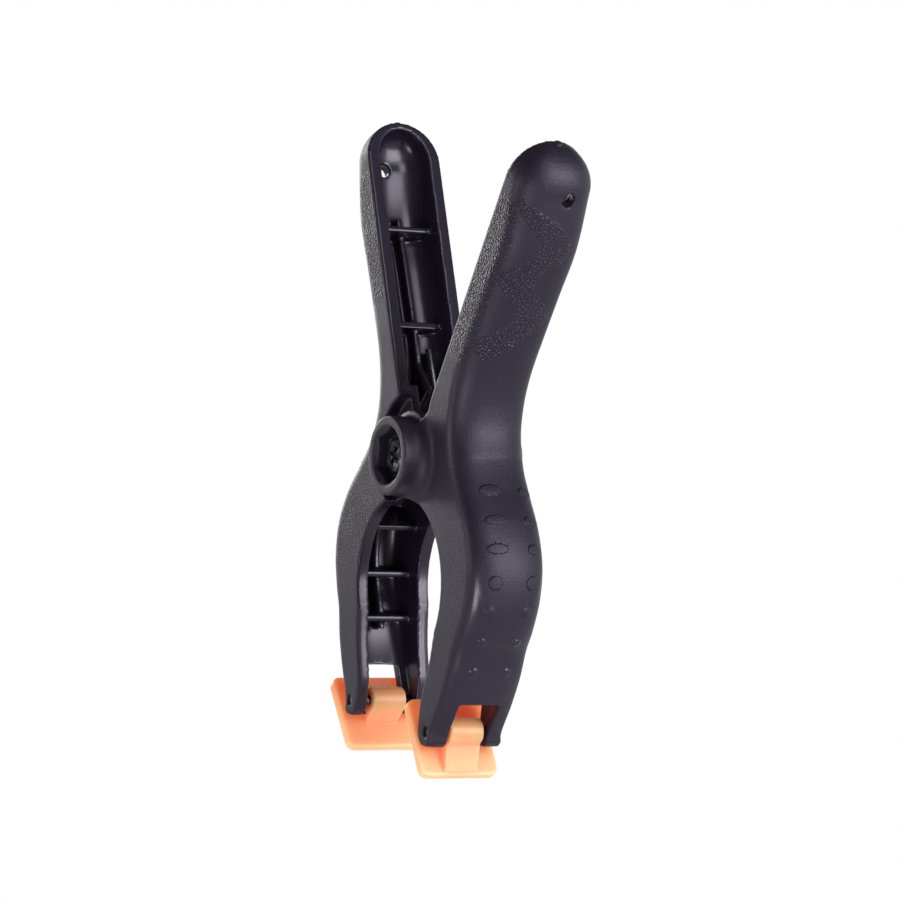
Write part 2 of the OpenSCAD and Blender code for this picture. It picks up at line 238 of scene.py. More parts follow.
def cylinder(radius, depth, centre, rotation, sides):
    """A cylinder about its centre, which stands along Z before it is turned."""
    deselect()
    bpy.ops.mesh.primitive_cylinder_add(vertices=sides, radius=radius, depth=depth,
                                        location=centre, rotation=rotation)
    bpy.ops.object.transform_apply()
    return bpy.context.object


def rod(radius, y0, y1, at, sides=96):
    """A cylinder along Y about a point of the XZ plane."""
    return cylinder(radius, y1 - y0, (at[0], (y0 + y1) / 2, at[1]), (math.pi / 2, 0, 0), sides)


def hexagon(across_flats, y0, y1, at):
    """A hexagonal prism along Y with its flats to the sides."""
    return rod(across_flats / math.sqrt(3), y0, y1, at, 6)


def block(low, high):
    """A box between two corners."""
    deselect()
    low, high = Vector(low), Vector(high)
    bpy.ops.mesh.primitive_cube_add(size=1, location=(low + high) / 2, scale=high - low)
    bpy.ops.object.transform_apply()
    return bpy.context.object


def outline(points):
    """A flat face through the points."""
    deselect()
    bpy.ops.mesh.primitive_circle_add(vertices=len(points), fill_type="NGON")
    face = bpy.context.object
    for vertex, point in zip(face.data.vertices, points):
        vertex.co = point
    return face


def pushed_out(points, push):
    """A flat face through the points, extruded by a vector."""
    solid = outline(points)
    edit_all(solid)
    bpy.ops.mesh.extrude_region_move(TRANSFORM_OT_translate={"value": push})
    tidy_normals(solid)
    return solid


def slab(points, y0, y1):
    """A flat XZ outline stood up between two places along Y."""
    return pushed_out([(p[0], y0, p[1]) for p in points], (0, y1 - y0, 0))


def loft(rings):
    """A closed skin over rings with as many points each."""
    skin = outline(rings[0])
    bpy.ops.object.mode_set(mode="EDIT")
    mesh = bmesh.from_edit_mesh(skin.data)
    spot = mesh.verts.layers.int.new("spot")
    for vertex in mesh.verts:
        vertex[spot] = vertex.index
        vertex.select_set(True)
    mesh.select_flush(True)
    for ring in rings[1:]:
        bpy.ops.mesh.extrude_region_move()
        mesh = bmesh.from_edit_mesh(skin.data)
        spot = mesh.verts.layers.int["spot"]
        for vertex in mesh.verts:
            if vertex.select:
                vertex.co = ring[vertex[spot]]
    bmesh.update_edit_mesh(skin.data)
    tidy_normals(skin)
    return skin


def lathe(profile, at, steps=64):
    """Turns a profile of radii and places along Y about the Y line through a point."""
    deselect()
    bpy.ops.mesh.primitive_circle_add(vertices=len(profile), fill_type="NOTHING")
    turned = bpy.context.object
    for vertex, (radius, y) in zip(turned.data.vertices, profile):
        vertex.co = (at[0] + radius, y, at[1])
    edit_all(turned)
    bpy.ops.mesh.spin(steps=steps, angle=2 * math.pi, center=(at[0], 0, at[1]), axis=(0, 1, 0))
    tidy_normals(turned)
    return turned


def joined(objects):
    """Several closed meshes as one object."""
    make_active(objects[0])
    for obj in objects:
        obj.select_set(True)
    bpy.ops.object.join()
    return objects[0]


def half_turn(obj):
    """Turns a mesh half a turn about Z, which makes a left piece of a right one."""
    obj.data.transform(Matrix.Rotation(math.pi, 4, "Z"))
    return obj


def copy_of(obj):
    """A copy with its own mesh."""
    copy = obj.copy()
    copy.data = obj.data.copy()
    bpy.context.scene.collection.objects.link(copy)
    return copy


def along_y(point, y):
    """A point of the XZ plane, as a place in space."""
    return (point[0], y, point[1])


def about_y(angle):
    """A turn about the Y axis."""
    return Matrix.Rotation(angle, 4, "Y")


def dress(obj, name, body, material, smooth_angle=None):
    """Names a piece, brings it to metres, gives it its finish and lets it ride on its body."""
    obj.name = name
    obj.data.name = name
    obj.data.transform(Matrix.Scale(MM, 4))
    make_active(obj)
    if smooth_angle is None:
        bpy.ops.object.shade_smooth()
    else:
        bpy.ops.object.shade_smooth_by_angle(angle=smooth_angle)
    obj.data.materials.clear()
    obj.data.materials.append(material)
    if body:
        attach(obj, body)


# ---- materials

# 0 below the first place, 1 above the second and smooth between them
STEP = {"interpolation_type": "SMOOTHSTEP"}


def add_node(tree, kind, *values, **named):
    """Adds a node and returns its first live output. Plain values go to its live sockets in
    order. A capital starts the name of a socket, with _ for a space, and a small letter the
    name of a setting. A socket takes a value or another node's output."""
    node = tree.nodes.new("ShaderNode" + kind)
    for name, value in named.items():
        if name[0].islower():
            setattr(node, name, value)
    live = [socket for socket in node.inputs if socket.enabled]
    filled = list(zip(live, values))
    filled += [(next(socket for socket in live if socket.name == name.replace("_", " ")), value)
               for name, value in named.items() if name[0].isupper()]
    for socket, value in filled:
        if isinstance(value, bpy.types.NodeSocket):
            tree.links.new(value, socket)
        else:
            socket.default_value = value
    return next((socket for socket in node.outputs if socket.enabled), None)


def new_material(name):
    """A material with an empty tree, and the function that adds a node to it."""
    material = bpy.data.materials.new(name)
    material.use_nodes = True
    material.node_tree.nodes.clear()
    return material, partial(add_node, material.node_tree)


def object_place(add):
    """The place on the piece, in millimetres."""
    return add("VectorMath", add("TexCoord").node.outputs["Object"], 1 / MM, operation="SCALE")


def arm_place(add, arm):
    """Where a point lies on its arm, in millimetres and the same on both arms: along the handle
    from the pivot, down from its rims, across it, off its middle plane, and out from the centre
    of the throat."""
    place = object_place(add)
    x, y, z = add("SeparateXYZ", place).node.outputs
    sine, cosine = math.sin(arm.handle_tilt), math.cos(arm.handle_tilt)
    aside = add("Math", x, operation="ABSOLUTE")
    up = add("Math", z, PIVOT.y, operation="SUBTRACT")
    along = add("Math", up, cosine, operation="MULTIPLY")
    along = add("Math", aside, sine, along, operation="MULTIPLY_ADD")
    down = add("Math", up, -sine, operation="MULTIPLY")
    down = add("Math", aside, cosine, down, operation="MULTIPLY_ADD")
    down = add("Math", down, arm.rim_offset / MM, operation="SUBTRACT")
    across = add("Math", y, add("Math", x, operation="SIGN"), operation="MULTIPLY")
    wide = add("Math", y, operation="ABSOLUTE")
    reach = add("VectorMath", add("CombineXYZ", x, 0, z), operation="LENGTH")
    return SimpleNamespace(place=place, along=along, down=down, across=across, wide=wide, reach=reach)


# a form just inside the back of a handle: half width, where its depth tapers and from what to
# what, where its dome starts and how long that is, how square it is, and how thick its border
CORE_HALF_W = 5.3
CORE_TAPER = (38, 47)
CORE_DEPTHS = (6.6, 5.4)
CORE_END = 47.7
CORE_DOME = 5.4
CORE_POWER = 2.4
CORE_EDGE = (0.98, 1.05)
# borders of the satin outside, each from where it starts to where it is full
BELOW_RIM = (0.3, 0.6)
HANDLE_START = (7, 9)
JAW_BACK = (22.5, 22.9)
OFF_THROAT = (13.2, 13.5)
FLANK = (5.3, 5.5)
FLANK_FACE = (5.95, 6.05)


def satin_outside(add, at):
    """1 on the satin outside of an arm and 0 on its rims and in its channels, and the same for
    the back of the handle alone."""
    depth = add("MapRange", at.along, *CORE_TAPER, *CORE_DEPTHS)
    beyond = add("Math", at.along, CORE_END, operation="SUBTRACT")
    beyond = add("Math", beyond, 0, operation="MAXIMUM")
    back = 0
    for value, size in ((at.wide, CORE_HALF_W), (at.down, depth), (beyond, CORE_DOME)):
        share = add("Math", value, size, operation="DIVIDE")
        share = add("Math", share, CORE_POWER, operation="POWER")
        back = add("Math", share, back, operation="ADD")
    back = add("MapRange", back, *CORE_EDGE, **STEP)
    off_rim = add("MapRange", at.down, *BELOW_RIM, **STEP)
    back = add("Math", back, off_rim, operation="MULTIPLY")
    on_handle = add("MapRange", at.along, *HANDLE_START, **STEP)
    back = add("Math", back, on_handle, operation="MULTIPLY")
    off_handle = add("Math", 1, on_handle, operation="SUBTRACT")
    jaw_back = add("MapRange", at.reach, *JAW_BACK, **STEP)
    jaw_back = add("Math", jaw_back, off_handle, operation="MULTIPLY")
    flank = add("MapRange", at.wide, *FLANK, **STEP)
    for border in (add("MapRange", at.reach, *OFF_THROAT, **STEP), off_rim):
        flank = add("Math", flank, border, operation="MULTIPLY")
    outside = add("MapRange", at.wide, *FLANK_FACE, **STEP)
    for area in (flank, back, jaw_back):
        outside = add("Math", outside, area, operation="MAXIMUM")
    return outside, back


# the band of grain winds across the back of a grip: length of a wave, where one peaks, how far
# it swings and about what line, and its half width
BAND_WAVE = 11.4
BAND_PEAK = 40.3
BAND_SWING = 2.05
BAND_MIDDLE = -0.85
BAND_EDGE = (2.4, 2.9)
# the grain on a flank of the handle, and how strong it is there
SIDE_EDGE = (5.2, 5.8)
SIDE_GRAIN = 0.65
# lower and upper end of each, with how far it leans for each millimetre across
BAND_ENDS = ((23.6, 0.8), (44.2, -0.45))
SIDE_ENDS = ((22.6, 0.56), (45.5, 0))
END_EDGE = (-0.5, 0.5)


def grip_grain(add, at, back):
    """How strong the grain of the grips is: a band that winds along the back of a handle, and
    a patch along each side of it."""
    turns = add("Math", at.along, BAND_PEAK, operation="SUBTRACT")
    turns = add("Math", turns, 2 * math.pi / BAND_WAVE, operation="MULTIPLY")
    wave = add("Math", turns, operation="COSINE")
    middle = add("Math", wave, BAND_SWING, BAND_MIDDLE, operation="MULTIPLY_ADD")
    off_middle = add("Math", at.across, middle, operation="SUBTRACT")
    off_middle = add("Math", off_middle, operation="ABSOLUTE")
    band = add("MapRange", off_middle, *BAND_EDGE, 1, 0, **STEP)
    side = add("MapRange", at.wide, *SIDE_EDGE, 0, SIDE_GRAIN, **STEP)
    grain = 0
    for patch, ends in ((band, BAND_ENDS), (side, SIDE_ENDS)):
        low, high = (add("Math", at.across, lean, end, operation="MULTIPLY_ADD")
                     for end, lean in ends)
        for larger, smaller in ((at.along, low), (high, at.along)):
            inside = add("Math", larger, smaller, operation="SUBTRACT")
            inside = add("MapRange", inside, *END_EDGE, **STEP)
            patch = add("Math", patch, inside, operation="MULTIPLY")
        grain = add("Math", patch, grain, operation="MAXIMUM")
    return add("Math", grain, back, operation="MULTIPLY")


# patterns to the millimetre, and heights in metres as a bump takes them
PEBBLES_PER_MM = 1.75
PEBBLE_VALLEY = (0.02, 0.3)
PEBBLE_RISE = 0.0002
SKIN_PER_MM = 4.0
SKIN_RISE = 0.00006
CLOUDS_PER_MM = 0.12


def moulded_nylon(colours, arm):
    """Glass-filled nylon 6, injection moulded: a near black with a little violet. The outside
    comes from a spark-eroded die half, satin with coarse pebbles in waves on the grips. The
    rims and channels come from the polished half, so they are glossy and look darker."""
    material, add = new_material("moulded_nylon")
    at = arm_place(add, arm)
    outside, back = satin_outside(add, at)
    # pebbles about 0.6 mm across, with narrow valleys between them, and a painted highlight that
    # makes their tops paler
    tops = add("TexVoronoi", feature="DISTANCE_TO_EDGE", Vector=at.place, Scale=PEBBLES_PER_MM)
    tops = add("MapRange", tops, *PEBBLE_VALLEY, **STEP)
    tops = add("Math", tops, grip_grain(add, at, back), operation="MULTIPLY")
    pebbles = add("Bump", Strength=1.0, Distance=PEBBLE_RISE, Height=tops)
    # painted highlight: the pebble tops are mixed towards a paler violet grey, as if light caught
    # them
    tint = add("Mix", tops, (*colours.nylon, 1), (*linear("#2c2637"), 1), data_type="RGBA")
    # the die's spark-eroded skin, about 0.12 mm across, drawn at 0.25 mm so that it shows
    skin = add("TexNoise", Vector=at.place, Scale=SKIN_PER_MM, Detail=2.0)
    skin = add("Math", skin, outside, operation="MULTIPLY")
    surface = add("Bump", Strength=0.8, Distance=SKIN_RISE, Height=skin, Normal=pebbles)
    cloud = add("TexNoise", Vector=at.place, Scale=CLOUDS_PER_MM, Detail=3.0)
    satin = add("MapRange", cloud, 0.3, 0.7, 0.4, 0.5)
    rough = add("MapRange", outside, To_Min=0.24, To_Max=satin)
    # the eroded skin hides part of the gloss, and the violet dye tints what is left
    gloss = add("MapRange", outside, To_Min=0.5, To_Max=0.38)
    shader = add("BsdfPrincipled", Base_Color=tint, Roughness=rough, IOR=1.5, Normal=surface,
                 Specular_IOR_Level=gloss, Specular_Tint=(*linear("#f6eeff"), 1))
    add("OutputMaterial", Surface=shader)
    return material


# heights between which painted light turns the pads from shaded orange to lit cream, and how far
# clouds shift them
PAD_PAINTED_LIGHT = (-12, -27)
PAD_CLOUD = 3.0


def moulded_pad(colours):
    """Unfilled polypropylene, injection moulded: light passes a few millimetres into it, so it
    glows red where the arms shade it. Its colour turns from orange to cream towards its foot,
    which is painted light: shade under the arms at its top and light from below, set by height."""
    material, add = new_material("orange_polypropylene")
    place = object_place(add)
    height = add("SeparateXYZ", place).node.outputs["Z"]
    cloud = add("TexNoise", Vector=place, Scale=0.35, Detail=2.0)
    height = add("Math", cloud, PAD_CLOUD, height, operation="MULTIPLY_ADD")
    # painted light: paler cream lower down and deeper orange higher up, for light from below and
    # shade under the arms
    painted_light = add("MapRange", height, *PAD_PAINTED_LIGHT, **STEP)
    tint = add("Mix", painted_light, (*colours.pad, 1), (*linear("#ffb08c"), 1), data_type="RGBA")
    skin = add("TexNoise", Vector=place, Scale=4.0, Detail=2.0)
    surface = add("Bump", Strength=0.3, Distance=0.00003, Height=skin)
    shader = add("BsdfPrincipled", Base_Color=tint, Roughness=0.38, IOR=1.49, Normal=surface,
                 Subsurface_Weight=1.0, Subsurface_Scale=0.008,
                 Subsurface_Radius=(1.0, 0.45, 0.3))
    add("OutputMaterial", Surface=shader)
    return material


def oxide_steel(colours):
    """Carbon steel with a black oxide coat, worn bright where a driver or the die has rubbed."""
    material, add = new_material("black_oxide_steel")
    wear = add("TexNoise", Vector=object_place(add), Scale=1.2, Detail=4.0)
    worn = add("MapRange", wear, 0.47, 0.68, **STEP)
    tint = add("Mix", worn, (*colours.black_steel, 1), (*linear("#8f9094"), 1), data_type="RGBA")
    rough = add("MapRange", wear, To_Min=0.42, To_Max=0.28)
    shader = add("BsdfPrincipled", Base_Color=tint, Metallic=1.0, Roughness=rough)
    add("OutputMaterial", Surface=shader)
    return material


def drawn_wire(colours):
    """Music wire as drawn: bright, with fine die marks."""
    material, add = new_material("drawn_spring_wire")
    lines = add("TexNoise", Vector=object_place(add), Scale=3.0, Detail=4.0)
    rough = add("MapRange", lines, To_Min=0.18, To_Max=0.4)
    surface = add("Bump", Strength=0.2, Distance=0.00002, Height=lines)
    shader = add("BsdfPrincipled", Base_Color=(*colours.spring_steel, 1), Metallic=1.0,
                 Roughness=rough, Normal=surface)
    add("OutputMaterial", Surface=shader)
    return material


# ---- the arm moulding

# degrees of the rows of a handle's dome, from its end inwards
TIP_ANGLES = (88, 83, 76, 68, 60, 50, 40, 30, 20, 10)
TIP_FALL = 1.2
TIP_WALL = 1.1
SQUARENESS = 2.35
ARCH_STEPS = 48
STRETCH_STEPS = 8
# rows of a handle: place down from its dome, and what its crest has past the handle's depth
HANDLE_ROWS = ((0, -TIP_FALL), (8, 0.1), (16, -0.2), (23, -0.4), (28.5, -0.45))
# where a handle ends on the way to the waist, with the crest there, from the pivot
HANDLE_FOOT = 14
FOOT_CREST = (14.1, 10.4)
# rim and crest of the waist's rows, from the pivot
WAIST_ROWS = (((4.9, 8.8), (13.7, 7.5)), ((3.4, 3), (13.8, 5.3)),
              ((3.3, -3), (14.4, 3.1)), ((5.2, -7.4), (15.4, 0.8)))
# rows of the jaw about the throat: degrees of the rim and what it has past the throat, degrees
# of the crest and what it has past the jaw's depth, and what the crown loses
JAW_ROWS = ((44, -0.6, 44, 0.1, 0.4), (30, -0.6, 30, 0.1, 0.4), (16, -0.6, 16, 0.1, 0.4),
            (3, -0.6, 3, -0.6, 0.4), (-10, -0.6, -10, -1.6, 0.4), (-27, 0.35, -18, -2.4, 0.8))
# rim, crest and crown of the nose's rows, from the pad's pin
NOSE_ROWS = (((-1, 8.9), (6.9, 8.8), 2.4), ((-2.3, 4.2), (4.9, 4.6), 2),
             ((-2.4, 0), (2.4, 0.1), 1.6), ((-2.05, -1.25), (2.05, -1.25), 1),
             ((-1.1, -2.1), (1.1, -2.12), 0.6))
# corners past its rims of the area about the pivot that belongs to the right arm
ARM_SIDE = ((18, 6), (18, -16), (1, -16), (1, 0))


def about_throat(degrees, radius):
    """A point about the centre of the throat."""
    angle = math.radians(degrees)
    return radius * Vector((math.cos(angle), math.sin(angle)))


class ArmForm:
    """The arm's profile and sections, in millimetres, from its sizes."""

    def __init__(self, sizes):
        for name, value in vars(in_mm(sizes)).items():
            setattr(self, name, value)
        tilt = sizes.handle_tilt
        self.axis = Vector((math.sin(tilt), math.cos(tilt)))
        self.inward = Vector((math.cos(tilt), -math.sin(tilt)))
        self.half_w = self.arm_w / 2
        self.tip_s = self.handle_len - self.half_w
        self.tip_depth = self.handle_depth - TIP_FALL
        self.tip_crown = self.crown + 0.5
        self.stations = self.make_stations()

    def handle(self, s, t):
        """A point of the handle: s up from the pivot and t in from the plane of the rims."""
        return PIVOT + s * self.axis + (t + self.rim_offset) * self.inward

    def station(self, rim, crest, crown=None, half_w=None):
        """Rim point, crest point, half width and crown, as one row that can be blended."""
        return np.array([*rim, *crest, half_w or self.half_w, crown or self.crown])

    def make_stations(self):
        """Rows from the tip of the handle to the nose of the jaw."""
        rows = [self.station(self.handle(self.tip_s - s, 0),
                             self.handle(self.tip_s - s, self.handle_depth + t))
                for s, t in HANDLE_ROWS]
        rows[0][5] = self.tip_crown
        rows.append(self.station(self.handle(HANDLE_FOOT, 0), PIVOT + Vector(FOOT_CREST)))
        rows += [self.station(PIVOT + Vector(rim), PIVOT + Vector(crest))
                 for rim, crest in WAIST_ROWS]
        back_r = SEAT_R + self.jaw_depth
        rows += [self.station(about_throat(a, SEAT_R + r), about_throat(b, back_r + t),
                              self.crown - fall) for a, r, b, t, fall in JAW_ROWS]
        rows += [self.station(PIN + Vector(rim), PIN + Vector(crest), crown)
                 for rim, crest, crown in NOSE_ROWS]
        return rows

    def between(self, k, t):
        """The row a share t of the way from station k to the next, on a smooth curve."""
        last = len(self.stations) - 1
        a, b, c, d = (self.stations[min(max(k + i, 0), last)] for i in (-1, 0, 1, 2))
        return 0.5 * (2 * b + (c - a) * t + (2 * a - 5 * b + 4 * c - d) * t * t
                      + (3 * b - a - 3 * c + d) * t ** 3)

    def dome_rows(self, reach, power, back=0.0, side=0.0, crown=0.0):
        """Rows of the dome that closes the handle, or its channel inside the walls given."""
        rows = []
        for degrees in TIP_ANGLES:
            angle = math.radians(degrees)
            s, fall = self.tip_s + reach * math.sin(angle), math.cos(angle) ** power
            rows.append(self.station(
                self.handle(s, 0), self.handle(s, (self.tip_depth - back) * fall + back),
                self.tip_crown * fall + crown, (self.half_w - side) * math.cos(angle) + side))
        return rows

    def body_rows(self):
        """Rows from the foot of the dome to the nose."""
        rows = [self.between(k, j / STRETCH_STEPS)
                for k in range(len(self.stations) - 1) for j in range(STRETCH_STEPS)]
        return rows + [self.stations[-1]]

    def section(self, row, wall=0.0, back=0.0, overhang=0.0):
        """The D outline of a row in space, drawn in by the walls and past the rim by overhang."""
        rim, crest, half_w, crown = Vector(row[0:2]), Vector(row[2:4]), row[4], row[5]
        down = crest - rim
        depth = down.length
        down.normalize()
        half_in = max(half_w - wall, 0.02)
        crown_in = crown * half_in / half_w
        floor = max(depth - back, 0.03)
        start = max(floor - crown_in, 0.01)
        points = [(-overhang, half_in)]
        for i in range(ARCH_STEPS + 1):
            angle = math.pi * i / ARCH_STEPS
            rise = math.sin(angle) ** (2 / SQUARENESS)
            side = abs(math.cos(angle)) ** (2 / SQUARENESS)
            points.append((start + (floor - start) * rise,
                           half_in * math.copysign(side, math.cos(angle))))
        points.append((-overhang, -half_in))
        return [(rim.x + t * down.x, y, rim.y + t * down.y) for t, y in points]

    def arm_side(self):
        """The area about the pivot that belongs to the right arm, from its rims outwards."""
        return [PIVOT + self.rim_offset * self.inward, self.handle(16, 0),
                *(PIVOT + Vector(corner) for corner in ARM_SIDE)]


# the voxels that fuse the parts of an arm, and what keeps two faces out of one plane
VOXEL = 0.2
EASE = 0.02
# the boss with the concave blend at its foot, the inner cheek with its hub, and the step that
# clears the other arm's cheek
FLANGE_R = 6.8
BLEND_R = 2.2
CHEEK_R = 6.6
CHEEK_T = 1.4
CHEEK_GAP = 0.1
HUB_R = 2.7
HUB_GAP = 0.15
MERGE_R = 11.5
STEP_R = 9.6
# bores, the hexagon pocket and the narrower one for the nut below it, and the slot of the fork
BORE_R = 1.58
PIN_BORE_R = 0.76
POCKET_AF = 7.4
POCKET_DEEP = 2.5
SEAT_AF = 5.7
SEAT_DEEP = 3.7
FORK_GAP = 6.6
FORK_DEPTH = 4.8
RIB_T = 1.0
# first and last station of a long rib, its height, and its toe from the pivot
LONG_RIBS = ((1, 5, 1.8, ((6.5, 9.6), (9.6, 6), (12.6, 6.8))), (11, 16, 2.6))
# station before a cross rib, share of the way to the next, and how far below the rims it starts
CROSS_RIBS = ((1, 0.3, 2.2), (3, 0.45, 2.8), (11, 0.5, 3.4), (13, 0.5, 3.4), (15, 0.3, 2.6))


def arm_skin(form):
    """The hollow D-section body of the arm. Its channel runs out of the nose."""
    side, back = form.side_wall, form.back_wall
    body = form.dome_rows(form.half_w, 0.9) + form.body_rows()
    core = form.dome_rows(form.half_w - TIP_WALL, 0.7, back, side, 0.01) + form.body_rows()
    return cut(loft([form.section(row) for row in body]),
               loft([form.section(row, side, back, 1.5) for row in core]))


def boss(form):
    """The outer boss with its flange, and a concave blend into the arm's own side wall."""
    outer, inner, face = form.boss_d / 2, form.side_wall - form.half_w + EASE, BOSS_FACE
    solid = fuse(rod(outer, face, inner, PIVOT),
                 rod(FLANGE_R, -form.half_w - EASE, inner - EASE / 2, PIVOT))
    turn = [math.radians(90 + 10 * i) for i in range(10)]
    centre = (outer + BLEND_R, -form.half_w - BLEND_R)
    concave = [(centre[0] + BLEND_R * math.cos(a), centre[1] + BLEND_R * math.sin(a)) for a in turn]
    ring = lathe([(outer - 1, -form.half_w + 0.5), (outer + BLEND_R, -form.half_w + 0.5), *concave,
                  (outer - 1, -form.half_w - BLEND_R)], PIVOT)
    side = slab(form.arm_side(), -form.half_w - BLEND_R - 1, -form.half_w + 0.6)
    return fuse(solid, combine(ring, side, "INTERSECT"))


def cheek(form):
    """The inner cheek that overlaps the other arm, its hub, and its root on the side wall."""
    wall = form.half_w - form.side_wall
    high = wall - CHEEK_GAP
    low = high - CHEEK_T
    solid = fuse(rod(CHEEK_R, low, high, PIVOT), rod(HUB_R, HUB_GAP, low + 0.2, PIVOT))
    root = combine(rod(MERGE_R, low + EASE, wall + 0.5, PIVOT),
                   slab(form.arm_side(), low - 1, wall + 1), "INTERSECT")
    return fuse(solid, root)


def long_rib(form, first, last, rise, toe=()):
    """A rib along the middle of the channel floor, between two stations and on to its toe."""
    rows = [form.between(k, j / 3) for k in range(first, last) for j in range(3)]
    top, foot = [], []
    for row in rows:
        rim, crest = Vector(row[0:2]), Vector(row[2:4])
        down = (crest - rim).normalized()
        top.append(crest - (form.back_wall + rise) * down)
        foot.append(crest - form.back_wall / 2 * down)
    return slab(top + [PIVOT + Vector(p) for p in toe] + foot[::-1], -RIB_T / 2, RIB_T / 2)


def cross_rib(form, k, t, top):
    """A rib between the side walls at a place along the arm, which ends inside the walls."""
    row = form.between(k, t)
    rim, down = Vector(row[0:2]), Vector(row[2:4]) - Vector(row[0:2])
    depth, half = down.length - form.back_wall + 0.5, form.half_w - form.side_wall + 0.3
    rib = block((top, -half, -RIB_T / 2), (depth, half, RIB_T / 2))
    rib.data.transform(Matrix.Translation(along_y(rim, 0)) @ about_y(-math.atan2(down.y, down.x)))
    return rib


def boss_pocket():
    """The hexagon that takes the screw head or the nut, wider and coned at its mouth."""
    face = BOSS_FACE
    pocket = fuse(hexagon(POCKET_AF, face - 1, face + POCKET_DEEP, PIVOT),
                  hexagon(SEAT_AF, face - 1.5, face + SEAT_DEEP, PIVOT))
    mouth = POCKET_AF / math.sqrt(3) + 0.25
    cone = lathe([(0, face - 0.5), (mouth + 0.5, face - 0.5), (mouth - 0.5, face + 0.5),
                  (0, face + 0.5)], PIVOT)
    return fuse(pocket, cone)


def hang_hole():
    """The drill for the hanging hole near the tip."""
    aim = Vector(HANG["axis"]).to_track_quat("Z", "Y").to_euler()
    return cylinder(HANG["dims"]["r_mm"], 9, Vector(HANG["pos_m"]) / MM, aim, 48)


def fork_slot():
    """The slot of the fork, cut from outside the nose."""
    return block((PIN.x - 6, -FORK_GAP / 2, PIN.y - 6),
                 (PIN.x + 8, FORK_GAP / 2, PIN.y + FORK_DEPTH))


GATE_R = 0.6
GATE_LEN = 1.1


def gate(form):
    """What is left of the moulding gate on the tip of the handle."""
    tilt = math.atan2(form.axis.x, form.axis.y)
    foot = form.handle(form.handle_len - 0.3, 1)
    nub = cylinder(GATE_R, GATE_LEN, along_y(foot, 0), (0, tilt, 0), 24)
    round_edges(nub, 0.15, 3)
    return nub


# raised marks on the back of a jaw: place along the arm, width, the radius that rounds the top
# edge, and in each of two columns the mark's place along Y and its length
MARKS = (
    (10.03, 1.5, 0.16, (-1.8, 3.4), (4.2, 2.6)), (10.87, 1.5, 0.16, (-2, 3.4), (3.9, 2.6)),
    (11.61, 1.5, 0.16, (-2.4, 3.2), (3.8, 2.6)), (12.48, 2, 0.2, (-2.8, 2), (3.2, 2)),
    (13.28, 1.7, 0.6, (-3.1, 1.7), (2.9, 1.7)), (14.41, 1.6, 0.6, (-3.1, 1.6), (2.6, 1.6)),
    (15.73, 1.5, 0.6, (-2.9, 1.5), (2.5, 1.5)),
)
MARK_SINK = 0.8
MARK_SIDES = 40


def mark(form, place, y, long, wide, soft):
    """One raised oval that follows the back, with a rounded top edge."""
    k = int(place)
    row = form.between(k, place - k).tolist()
    ahead = form.between(k, place - k + 0.05) - form.between(k, place - k - 0.05)
    rim, crest, half_w, crown = Vector(row[0:2]), Vector(row[2:4]), row[4], row[5]

    def fall(at):
        """How far the back lies below its crest."""
        return crown * (1 - (1 - abs(at / half_w) ** SQUARENESS) ** (1 / SQUARENESS))

    foot = crest - fall(y) * (crest - rim).normalized()
    lean = math.atan((fall(y + 0.2) - fall(y - 0.2)) / 0.4)

    def bent(q):
        """How far the back lies below the mark's own plane."""
        return (fall(y + q * math.cos(lean)) - fall(y) - q * math.sin(lean)) * math.cos(lean)

    rings = [(0.0, -MARK_SINK)]
    high = min(soft, form.mark_rise + 0.1)
    for degrees in range(0, 91, 15):
        angle = math.radians(degrees)
        rings.append((soft * (1 - math.cos(angle)), form.mark_rise - high * (1 - math.sin(angle))))
    turns = [2 * math.pi * i / MARK_SIDES for i in range(MARK_SIDES)]
    stub = loft([[((wide / 2 - inset) * math.cos(a), (long / 2 - inset) * math.sin(a),
                   z - bent((long / 2 - inset) * math.sin(a))) for a in turns] for inset, z in rings])
    stub.data.transform(Matrix.Translation(along_y(foot, y))
                        @ about_y(math.pi / 2 - math.atan2(ahead[2], -ahead[3]))
                        @ Matrix.Rotation(-lean, 4, "X"))
    return stub


def arm_moulding(form):
    """The right arm as one moulding, with the soft edges that a die leaves."""
    parts = [arm_skin(form), boss(form), cheek(form)]
    parts += [long_rib(form, *rib) for rib in LONG_RIBS]
    parts += [cross_rib(form, *rib) for rib in CROSS_RIBS]
    arm = joined(parts)
    apply_modifier(arm, "REMESH", mode="VOXEL", voxel_size=VOXEL)
    wall = form.half_w + 1
    cheek_out = form.half_w - form.side_wall - CHEEK_GAP
    drills = [rod(SEAT_R, -wall - 5, wall, (0, 0), 192), rod(BORE_R, -12, 12, PIVOT),
              rod(STEP_R, cheek_out, wall, PIVOT, 128), boss_pocket(),
              fork_slot(), rod(PIN_BORE_R, -wall, wall, PIN, 48), hang_hole()]
    for drill in drills:
        cut(arm, drill)
    apply_modifier(arm, "REMESH", mode="VOXEL", voxel_size=VOXEL)
    apply_modifier(arm, "SMOOTH", factor=0.5, iterations=3)
    apply_modifier(arm, "DECIMATE", ratio=0.5)
    marks = [mark(form, place, *columns[k], wide, soft)
             for k in (0, 1) for place, wide, soft, *columns in MARKS]
    return fuse(arm, joined(marks + [gate(form)]))


# ---- screw, nut, pins, spring and pads

# the screw's head with its rounded top edge, and its thread
HEAD_H = 2.4
HEAD_DOME = 0.9
PITCH = 0.5
THREADS = 9
THREAD_DEPTH = 0.27
END_CHAMFER = 0.3
# a lathe profile starts and ends this close to its axis
AXIS_R = 0.001
# the cross recess: half length, half width, depth, what its floor keeps of both, and its turns
RECESS_LONG = 1.55
RECESS_WIDE = 0.36
RECESS_DEPTH = 1.3
RECESS_FLOOR = (0.45, 0.7)
RECESS_TURNS = (20, 110)


